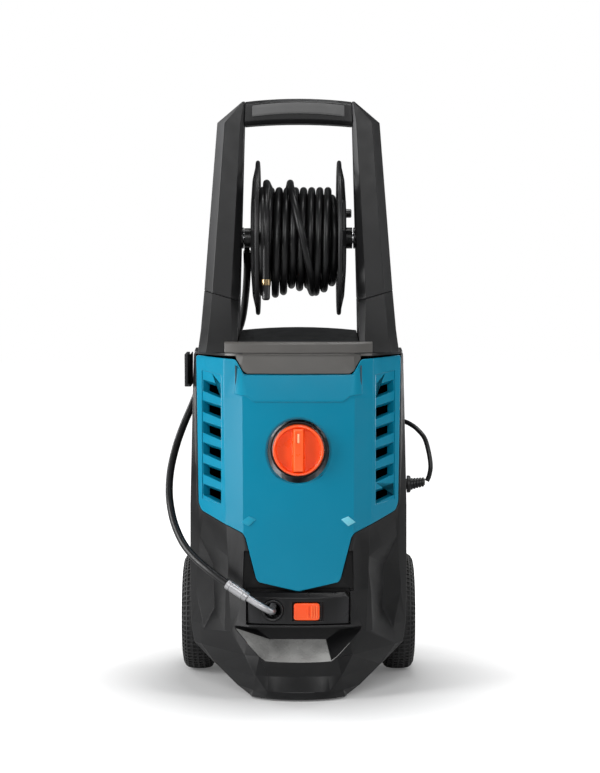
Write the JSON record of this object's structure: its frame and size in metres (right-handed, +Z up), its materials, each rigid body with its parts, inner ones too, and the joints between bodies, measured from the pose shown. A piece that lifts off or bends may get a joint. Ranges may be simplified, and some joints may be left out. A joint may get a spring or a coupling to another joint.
{
  "type": "electric pressure washer",
  "caption": "Upright wheeled electric pressure washer with a handle frame that carries a hose reel, a switch dial, an outlet console with a short coupled hose, and a motor and pump inside.",
  "frame": {"origin": "on the floor, at the middle of the machine's footprint box with its cords left out", "axes": "+Z up along the machine's height, -Y towards the front with the dial, +X towards the machine's right side seen from the front"},
  "size_m": [0.3905, 0.317, 0.8435],
  "materials": {
    "shell": "fine-grained moulded plastic",
    "console": "smooth glossy moulding",
    "dark": "plain moulded plastic",
    "band": "satin grey trim",
    "pad": "soft-touch grip insert",
    "teal": "satin blue moulding",
    "orange": "satin orange moulding",
    "rubber": "smooth black rubber",
    "tyre": "hard treaded rubber",
    "steel": "turned and ground steel",
    "chrome": "bright plating",
    "brass": "machined brass",
    "copper": "varnished copper windings on laminations",
    "cast": "sand-cast and painted clear"
  },
  "bodies": {
    "housing": {"front_shell": "shell", "rear_shell": "shell", "front_cover": "teal", "console_panel": "console", "top_deck": "shell", "deck_band": "band", "handle_shoulder_left": "shell", "handle_shoulder_right": "shell", "handle_post_left": "shell", "handle_post_right": "shell", "handle_grip": "shell", "grip_pad": "pad", "reel_bush_left": "dark", "reel_bush_right": "dark", "reel_swivel": "dark", "dial_ring": "shell", "switch_box": "dark", "outlet_socket": "dark", "outlet_elbow": "chrome", "jumper_ferrule": "chrome", "jumper_hose": "rubber", "lance_holder": "shell", "cable_gland": "shell", "strain_relief": "rubber", "power_cable": "rubber", "cable_winding": "rubber", "power_plug": "dark", "cable_hook_upper": "shell", "cable_hook_lower": "shell", "wheel_axle": "steel", "foot_left": "rubber", "foot_right": "rubber", "water_inlet": "brass", "motor_housing": "cast", "motor_stator": "copper", "motor_cradle": "dark", "pump_body": "cast", "pump_head": "brass", "outlet_pipe": "steel", "inlet_pipe": "rubber"},
    "reel": {"reel_shaft": "steel", "reel_drum": "shell", "reel_flange_left": "shell", "reel_flange_right": "shell", "crank_pin": "steel", "hose_coil": "rubber", "hose_end_nut": "brass", "hose_end_cap": "dark"},
    "crank_handle": {"crank_knob": "dark"},
    "wheel_left": {"wheel_rim_left": "dark", "wheel_tyre_left": "tyre"},
    "wheel_right": {"wheel_rim_right": "dark", "wheel_tyre_right": "tyre"},
    "dial": {"dial_knob": "orange"},
    "latch": {"outlet_latch": "orange"},
    "armature": {"motor_armature": "steel", "cooling_fan": "dark"},
    "piston_a": {"piston_front": "steel"},
    "piston_b": {"piston_left": "steel"},
    "piston_c": {"piston_right": "steel"}
  },
  "joints": [
    {"name": "reel_spin", "type": "hinge", "parent": "housing", "child": "reel", "pos_m": [0, 0.011, 0.645], "axis": [1, 0, 0], "continuous": true},
    {"name": "crank_knob_spin", "type": "hinge", "parent": "reel", "child": "crank_handle", "pos_m": [0.07, 0.07335, 0.681], "axis": [1, 0, 0], "continuous": true},
    {"name": "wheel_left_spin", "type": "hinge", "parent": "housing", "child": "wheel_left", "pos_m": [-0.148, 0.0725, 0.0865], "axis": [1, 0, 0], "continuous": true},
    {"name": "wheel_right_spin", "type": "hinge", "parent": "housing", "child": "wheel_right", "pos_m": [0.148, 0.0725, 0.0865], "axis": [1, 0, 0], "continuous": true},
    {"name": "dial_turn", "type": "hinge", "parent": "housing", "child": "dial", "pos_m": [0, -0.1285, 0.349], "axis": [0, 1, 0], "range_deg": [0, 90]},
    {"name": "latch_slide", "type": "slide", "parent": "housing", "child": "latch", "axis": [1, 0, 0], "range_m": [0, 0.004], "stiffness_N_per_m": 400, "springref_m": -0.002},
    {"name": "motor_spin", "type": "hinge", "parent": "housing", "child": "armature", "pos_m": [0, 0.015, 0.3], "axis": [0, 0, 1], "continuous": true},
    {"name": "piston_front_slide", "type": "slide", "parent": "housing", "child": "piston_a", "axis": [0, 0, -1], "range_m": [0, 0.006], "stiffness_N_per_m": 1000, "springref_m": -0.002},
    {"name": "piston_left_slide", "type": "slide", "parent": "housing", "child": "piston_b", "axis": [0, 0, -1], "range_m": [0, 0.006], "stiffness_N_per_m": 1000, "springref_m": -0.002},
    {"name": "piston_right_slide", "type": "slide", "parent": "housing", "child": "piston_c", "axis": [0, 0, -1], "range_m": [0, 0.006], "stiffness_N_per_m": 1000, "springref_m": -0.002}
  ]
}
